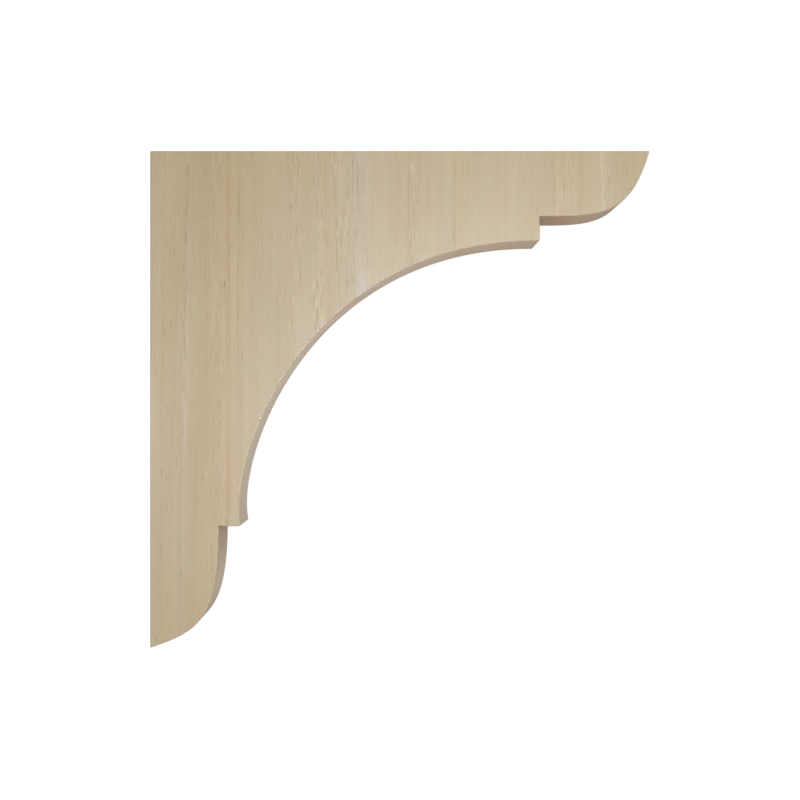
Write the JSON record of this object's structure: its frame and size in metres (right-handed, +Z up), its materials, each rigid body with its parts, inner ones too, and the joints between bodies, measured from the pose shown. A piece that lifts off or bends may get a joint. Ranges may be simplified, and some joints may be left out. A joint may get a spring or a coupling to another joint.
{
  "type": "corbel bracket",
  "caption": "Sawn wooden corbel bracket with a concave sweep between two arms, each ending in a stepped, rounded lobe; stands on a wall and carries a shelf.",
  "frame": {"origin": "middle of the wall edge: halfway up its height and halfway across the board's thickness", "axes": "+X out from the wall along the top edge, +Y across the board's thickness, +Z up"},
  "size_m": [0.3048, 0.0444, 0.3032],
  "materials": {
    "board": "pale hardwood, planed and sanded, with no stain or varnish"
  },
  "bodies": {
    "root": {"corbel": "board"}
  },
  "joints": []
}
